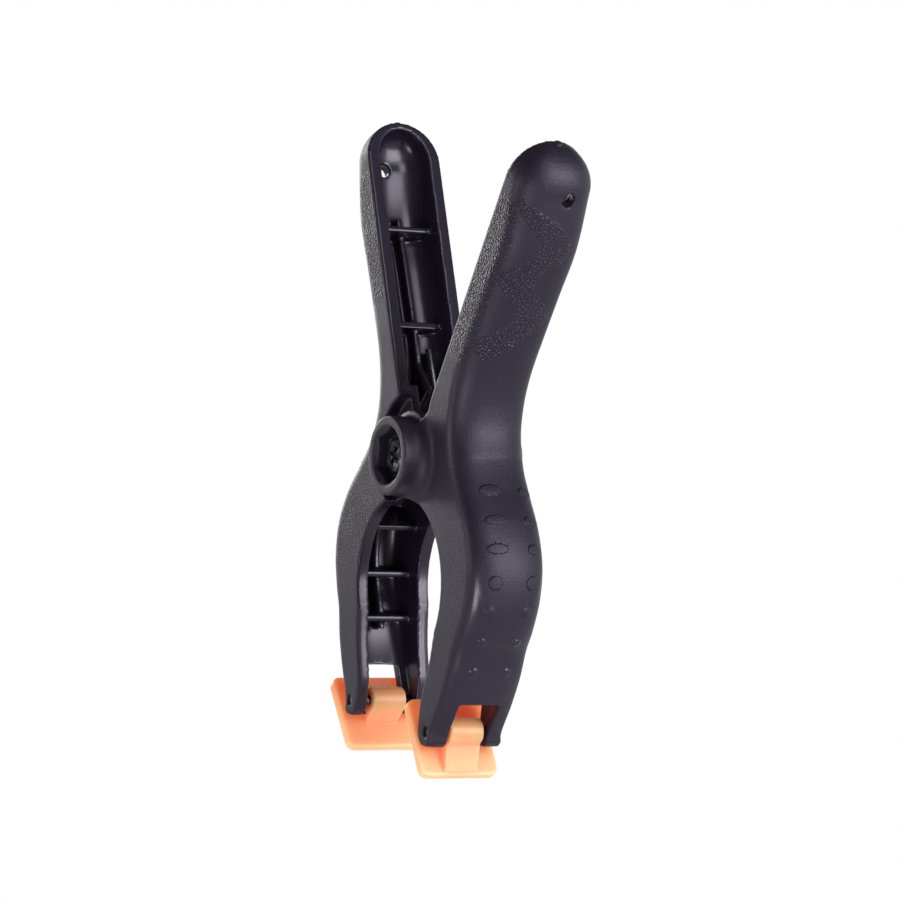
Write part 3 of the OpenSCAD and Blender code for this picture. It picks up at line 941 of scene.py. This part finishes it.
def pivot_screw(metal):
    """A pan-head screw with a cross recess, and a thread at its far end."""
    radius, head = metal.screw_d / 2, metal.head_d / 2
    top, end = (corner.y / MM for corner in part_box("pivot_screw"))
    seat, root, thread_end = top + HEAD_H, radius - THREAD_DEPTH, end - END_CHAMFER
    profile = [(AXIS_R, end), (root, end), (root, thread_end)]
    for k in range(THREADS):
        profile += [(radius, thread_end - PITCH * (k + 0.45)),
                    (radius, thread_end - PITCH * (k + 0.6)),
                    (root, thread_end - PITCH * (k + 1))]
    profile += [(radius, thread_end - PITCH * THREADS - END_CHAMFER), (radius, seat),
                (head - 0.1, seat), (head, seat - 0.1)]
    rim = HEAD_H - HEAD_DOME
    for degrees in range(0, 91, 10):
        angle = math.radians(degrees)
        profile.append((max(head - HEAD_DOME + HEAD_DOME * math.cos(angle), AXIS_R),
                        seat - rim - HEAD_DOME * math.sin(angle)))
    profile.append((AXIS_R, top - 0.02))
    screw = lathe(profile, PIVOT, 96)
    for turn in RECESS_TURNS:
        arm = block((-RECESS_LONG, top - 0.2, -RECESS_WIDE),
                    (RECESS_LONG, top + RECESS_DEPTH, RECESS_WIDE))
        for vertex in arm.data.vertices:
            if vertex.co.y > top:
                vertex.co.x *= RECESS_FLOOR[0]
                vertex.co.z *= RECESS_FLOOR[1]
        arm.data.transform(Matrix.Translation(along_y(PIVOT, 0)) @ about_y(math.radians(turn)))
        cut(screw, arm)
    round_edges(screw, 0.05, 2, 40)
    return screw


def pivot_nut(metal):
    """A hexagon nut with chamfered corners."""
    low, high = (corner.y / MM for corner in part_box("pivot_nut"))
    nut = hexagon(metal.nut_af, low, high, PIVOT)
    rim = metal.nut_af / 2 + 0.05
    cone = lathe([(AXIS_R, low - 1), (rim + 3, low - 1), (rim + 3, low + 0.4),
                  (rim + 2.2, low + 0.4), (rim, high), (AXIS_R, high)], PIVOT, 96)
    combine(nut, cone, "INTERSECT")
    cut(nut, rod(metal.screw_d / 2 + 0.03, low - 1, high + 1, PIVOT, 64))
    round_edges(nut, 0.08, 2, 25)
    return nut


def pad_pin(metal):
    """A plain pin across the fork, with broken edges."""
    low, high = (corner.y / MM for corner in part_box("right_pad_pin"))
    pin = rod(metal.pin_d / 2, low, high, PIN, 48)
    round_edges(pin, 0.15, 3, 40)
    return pin


# a leg of the spring, and how far it swings out against the tilt of its handle
LEG_LEN = 18.6
LEG_SWING = math.radians(2.2)
# the points of the leg, as shares of its length, from its end to the coil
LEG_SHARES = (1, 0.75, 0.5, 0.25, 0.1)
FULL_TURNS = 3
COIL_STEPS = 128
WIRE_SIDES = 16


def spring_path(form, metal):
    """The line of the spring wire: a leg in each handle and a close coil between them."""
    radius = metal.coil_r
    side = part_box("torsion_spring")[1].y / MM - metal.wire_d / 2
    tilt = math.atan2(form.axis.x, form.axis.y)
    turn = 2 * math.pi * FULL_TURNS + math.pi - 2 * tilt

    def leg(sign, share):
        """A point of the leg in the left handle, or for a sign of 1 in the right one."""
        s = LEG_LEN * share
        point = PIVOT + s * form.axis + (radius + s * math.sin(LEG_SWING)) * form.inward
        return Vector((sign * point.x, -sign * side, point.y))

    path = [leg(-1, share) for share in LEG_SHARES]
    for i in range(COIL_STEPS + 1):
        angle = math.pi + tilt + turn * i / COIL_STEPS
        path.append(Vector((radius * math.cos(angle), side * (1 - 2 * i / COIL_STEPS),
                            PIVOT.y + radius * math.sin(angle))))
    return path + [leg(1, share) for share in reversed(LEG_SHARES)]


def torsion_spring(form, metal):
    """Round wire swept along the spring's line."""
    path, radius = spring_path(form, metal), metal.wire_d / 2
    angles = [2 * math.pi * (k + 0.5) / WIRE_SIDES for k in range(WIRE_SIDES)]
    rings = []
    for i, point in enumerate(path):
        ahead = (path[min(i + 1, len(path) - 1)] - path[max(i - 1, 0)]).normalized()
        a = ahead.cross(Vector((0, 1, 0))).normalized()
        b = a.cross(ahead)
        rings.append([point + radius * (math.cos(g) * a + math.sin(g) * b) for g in angles])
    spring = loft(rings)
    round_edges(spring, 0.12, 2, 60)
    return spring


# from a pad's pin to the back and to the upper edge of its plate, and its corners and eye
PAD_BACK = 2.7
PAD_ABOVE = 6.5
PAD_CORNER = 1.3
EYE_R = 0.8


def pad(sizes):
    """A pad about its pin, facing -X: a plate with round corners and a lug with an eye."""
    thick, lug_r = sizes.pad_t, sizes.lug_r
    side, high = sizes.pad_w / 2 - PAD_CORNER, PAD_ABOVE - PAD_CORNER
    low = PAD_ABOVE - sizes.pad_len + PAD_CORNER
    corners = []
    for k, (y, z) in enumerate(((side, high), (-side, high), (-side, low), (side, low))):
        for i in range(9):
            angle = math.pi / 2 * (k + i / 8)
            corners.append((-PAD_BACK - thick, y + PAD_CORNER * math.cos(angle),
                            z + PAD_CORNER * math.sin(angle)))
    plate = pushed_out(corners, (thick, 0, 0))
    round_edges(plate, 0.3, 4, 50)
    foot = PAD_ABOVE - sizes.pad_len + 0.4
    web = [(-PAD_BACK - thick / 2, foot), (-PAD_BACK + 0.4, foot)]
    turns = [math.pi * i / 24 - math.pi / 2 for i in range(25)]
    web += [(lug_r * math.cos(a), lug_r * math.sin(a)) for a in turns]
    web += [(-PAD_BACK - thick / 2, lug_r + 0.6)]
    lug = slab(web, -sizes.lug_w / 2, sizes.lug_w / 2)
    round_edges(lug, 0.35, 4, 50)
    whole = joined([plate, lug])
    apply_modifier(whole, "REMESH", mode="VOXEL", voxel_size=0.14)
    apply_modifier(whole, "SMOOTH", factor=0.5, iterations=5)
    cut(whole, rod(EYE_R, -sizes.lug_w, sizes.lug_w, (0, 0), 48))
    return whole


# ---- camera and stage

# view of the clamp: azimuth, elevation and roll in degrees, distance, aim and lens in millimetres
VIEW_AZIMUTH = 61.2736
VIEW_ELEVATION = 5.6801
VIEW_ROLL = 5.1137
VIEW_DISTANCE = 546.217
VIEW_AIM = (0.6674, 1.1093)
VIEW_LENS = 147.94
SENSOR_WIDTH = 36
# strength of the light that fills the shade, and of the floor where the clamp mirrors it
WORLD_LIGHT = 0.55
FLOOR_MIRRORED = 0.6
FLOOR_SIZE = 1200
FLOOR_DROP = 90
# the walls end and the ceiling starts at these sines of the elevation
WALL_TOP = (0.2, 0.6)
CEILING = 0.12
# the open side of the room: azimuth in degrees, the cosines off it between which the walls dim,
# and the strength that they keep there
OPEN_AZIMUTH = 0
OPEN_COSINES = (-0.3, 0.6)
OPEN_LIGHT = 0.15
# soft lamps: azimuth and elevation in degrees, distance and size in millimetres, power in watts
LAMPS = {
    "left_softbox": (-84, 6, 560, 240, 1.0),
    "front_softbox": (-22, 3, 560, 90, 0.5),
    "right_softbox": (112, 17, 560, 320, 2.5),
    "upper_softbox": (92, 45, 600, 180, 0.6),
    "low_softbox": (43, -16, 260, 90, 0.2),
}
WHITE = (1, 1, 1, 1)


def bearing(azimuth, elevation=0):
    """The direction of an azimuth from the front of the clamp and an elevation, in degrees."""
    azimuth, elevation = math.radians(azimuth), math.radians(elevation)
    return Vector((math.sin(azimuth) * math.cos(elevation),
                   -math.cos(azimuth) * math.cos(elevation), math.sin(elevation)))


def place_camera(context):
    """Stands the camera off the pivot, turned to look back at it."""
    roll = math.radians(VIEW_ROLL)
    back, right = bearing(VIEW_AZIMUTH, VIEW_ELEVATION), bearing(VIEW_AZIMUTH + 90)
    up = back.cross(right)
    right, up = (right * math.cos(roll) + up * math.sin(roll),
                 up * math.cos(roll) - right * math.sin(roll))
    place = (Vector((0, 0, PIVOT.y)) + right * VIEW_AIM[0] + up * VIEW_AIM[1]
             + back * VIEW_DISTANCE) * MM
    bpy.ops.object.camera_add()
    camera = context.object
    camera.matrix_world = (Matrix.Translation(place)
                           @ Matrix((right, up, back)).transposed().to_4x4())
    camera.data.lens = VIEW_LENS
    camera.data.sensor_width = SENSOR_WIDTH
    camera.data.clip_start, camera.data.clip_end = 0.01, 20
    context.scene.camera = camera


def ray_kinds(add):
    """1 for what the camera sees itself, and 1 for what it sees mirrored or through a piece."""
    rays = add("LightPath").node.outputs
    mirrored = add("Math", rays["Is Glossy Ray"], rays["Is Transmission Ray"], operation="MAXIMUM")
    return rays["Is Camera Ray"], mirrored


def pale_surface(name):
    """Matt pale paint that lights the clamp from below: plain white to the camera, and dimmer
    than the walls where the clamp mirrors it, because it lies in the clamp's shade."""
    material, add = new_material(name)
    camera, mirrored = ray_kinds(add)
    seen = add("Math", camera, mirrored, operation="MAXIMUM")
    paint = add("BsdfDiffuse", Color=(*linear("#f4f4f4"), 1))
    strength = add("MapRange", camera, To_Min=FLOOR_MIRRORED, To_Max=1.0)
    white = add("Emission", Color=WHITE, Strength=strength)
    add("OutputMaterial", Surface=add("MixShader", seen, paint, white))
    return material


def light_world(scene):
    """White walls, dimmer on the open side of the room, under a dim ceiling, and plain white
    where the camera looks."""
    world = bpy.data.worlds.new("white_surround")
    world.use_nodes = True
    world.node_tree.nodes.clear()
    add = partial(add_node, world.node_tree)
    camera, mirrored = ray_kinds(add)
    direction = add("TexCoord").node.outputs["Generated"]
    height = add("SeparateXYZ", direction).node.outputs["Z"]
    walls = add("MapRange", height, *WALL_TOP, 1.0, CEILING)
    facing = add("VectorMath", direction, bearing(OPEN_AZIMUTH), operation="DOT_PRODUCT")
    shade = add("MapRange", facing, *OPEN_COSINES, 1.0, OPEN_LIGHT)
    walls = add("Math", walls, shade, operation="MULTIPLY")
    strength = add("MapRange", mirrored, To_Min=WORLD_LIGHT, To_Max=walls)
    strength = add("MapRange", camera, To_Min=strength, To_Max=1.0)
    add("OutputWorld", Surface=add("Background", Color=WHITE, Strength=strength))
    scene.world = world


def place_lamps():
    """Square softboxes that face the clamp."""
    for name, (azimuth, elevation, distance, size, power) in LAMPS.items():
        place = distance * bearing(azimuth, elevation)
        bpy.ops.object.light_add(type="AREA", location=place * MM)
        lamp = bpy.context.object
        lamp.name = name
        lamp.data.size = size * MM
        lamp.data.energy = power
        lamp.rotation_euler = (-place).to_track_quat("-Z", "Y").to_euler()


def place_floor():
    """A pale floor under the clamp, which is shown as it hangs on a bar."""
    deselect()
    bpy.ops.mesh.primitive_plane_add(size=FLOOR_SIZE * MM,
                                     location=(0, 0, CAD_BOX[0].z - FLOOR_DROP * MM))
    bpy.context.object.name = "floor"
    bpy.context.object.data.materials.append(pale_surface("pale_floor"))


# ---- operators

class CLAMP_OT_stage(bpy.types.Operator):
    """Sets the camera, the pale floor, the white surround and the soft lamps"""
    bl_idname = "clamp.stage"
    bl_label = "Camera and stage"

    def execute(self, context):
        place_camera(context)
        light_world(context.scene)
        place_lamps()
        place_floor()
        context.scene.view_settings.view_transform = "Standard"
        return {"FINISHED"}


class CLAMP_OT_arms(bpy.types.Operator):
    """Builds the two moulded arms"""
    bl_idname = "clamp.arms"
    bl_label = "Arms"

    def execute(self, context):
        scene = context.scene
        nylon = moulded_nylon(scene.clamp_colours, scene.clamp_arm)
        right = arm_moulding(ArmForm(scene.clamp_arm))
        left = half_turn(copy_of(right))
        for arm, side in ((right, "right"), (left, "left")):
            dress(arm, side + "_arm_moulding", side + "_side", nylon)
            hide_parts(side + "_arm")
        return {"FINISHED"}


class CLAMP_OT_fasteners(bpy.types.Operator):
    """Builds the pivot screw, its nut and the pad pins"""
    bl_idname = "clamp.fasteners"
    bl_label = "Screw, nut and pins"

    def execute(self, context):
        metal = in_mm(context.scene.clamp_metal)
        steel = oxide_steel(context.scene.clamp_colours)
        right_pin = pad_pin(metal)
        left_pin = half_turn(copy_of(right_pin))
        rows = ((pivot_screw(metal), "cross_head_screw", "left_side", "pivot_screw"),
                (pivot_nut(metal), "hexagon_nut", "left_side", "pivot_nut"),
                (right_pin, "right_fork_pin", "right_side", "right_pad_pin"),
                (left_pin, "left_fork_pin", "left_side", "left_pad_pin"))
        for piece, name, body, node in rows:
            dress(piece, name, body, steel, math.radians(35))
            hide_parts(node)
        return {"FINISHED"}


class CLAMP_OT_spring(bpy.types.Operator):
    """Winds the torsion spring"""
    bl_idname = "clamp.spring"
    bl_label = "Torsion spring"

    def execute(self, context):
        scene = context.scene
        spring = torsion_spring(ArmForm(scene.clamp_arm), in_mm(scene.clamp_metal))
        dress(spring, "wound_spring", None, drawn_wire(scene.clamp_colours),
              math.radians(50))
        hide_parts("torsion_spring")
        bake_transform(spring)
        return {"FINISHED"}


class CLAMP_OT_pads(bpy.types.Operator):
    """Builds the two swivelling pads"""
    bl_idname = "clamp.pads"
    bl_label = "Pads"

    def execute(self, context):
        scene = context.scene
        orange = moulded_pad(scene.clamp_colours)
        right = pad(in_mm(scene.clamp_pad))
        left = copy_of(right)
        turns = (-JOINTS["right_pad_swivel"]["range_deg"][0],
                 JOINTS["left_pad_swivel"]["range_deg"][1])
        for piece, side, turn in ((right, "right", turns[0]), (left, "left", turns[1])):
            seat = Matrix.Translation(along_y(PIN, 0)) @ about_y(-math.radians(turn))
            piece.data.transform(seat)
            if side == "left":
                half_turn(piece)
            dress(piece, side + "_orange_pad", side + "_swivel", orange)
            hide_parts(side + "_pad")
        return {"FINISHED"}


class CLAMP_PT_panel(bpy.types.Panel):
    """Lists the clamp's pieces in the sidebar."""
    bl_label = "Spring clamp"
    bl_space_type = "VIEW_3D"
    bl_region_type = "UI"
    bl_category = "Clamp"

    def draw(self, context):
        column = self.layout.column(align=True)
        for operator in OPERATORS:
            column.operator(operator.bl_idname)
        for name, group in GROUPS.items():
            for size in group.__annotations__:
                self.layout.prop(getattr(context.scene, name), size)


GROUPS = {"clamp_arm": ClampArmSizes, "clamp_metal": ClampMetalSizes,
          "clamp_pad": ClampPadSizes, "clamp_colours": ClampColours}
OPERATORS = (CLAMP_OT_stage, CLAMP_OT_arms, CLAMP_OT_fasteners, CLAMP_OT_spring, CLAMP_OT_pads)


def register():
    """Registers the classes and adds their values to the scene."""
    for group in (*GROUPS.values(), *OPERATORS, CLAMP_PT_panel):
        bpy.utils.register_class(group)
    for name, group in GROUPS.items():
        setattr(bpy.types.Scene, name, PointerProperty(type=group))


def unregister():
    """Takes the values and classes away again."""
    for name in GROUPS:
        delattr(bpy.types.Scene, name)
    for group in (CLAMP_PT_panel, *reversed(OPERATORS), *reversed(GROUPS.values())):
        bpy.utils.unregister_class(group)


def main():
    """Builds the stage and every piece."""
    register()
    bpy.ops.clamp.stage()
    bpy.ops.clamp.arms()
    bpy.ops.clamp.fasteners()
    bpy.ops.clamp.spring()
    bpy.ops.clamp.pads()


if __name__ == "__main__":
    main()
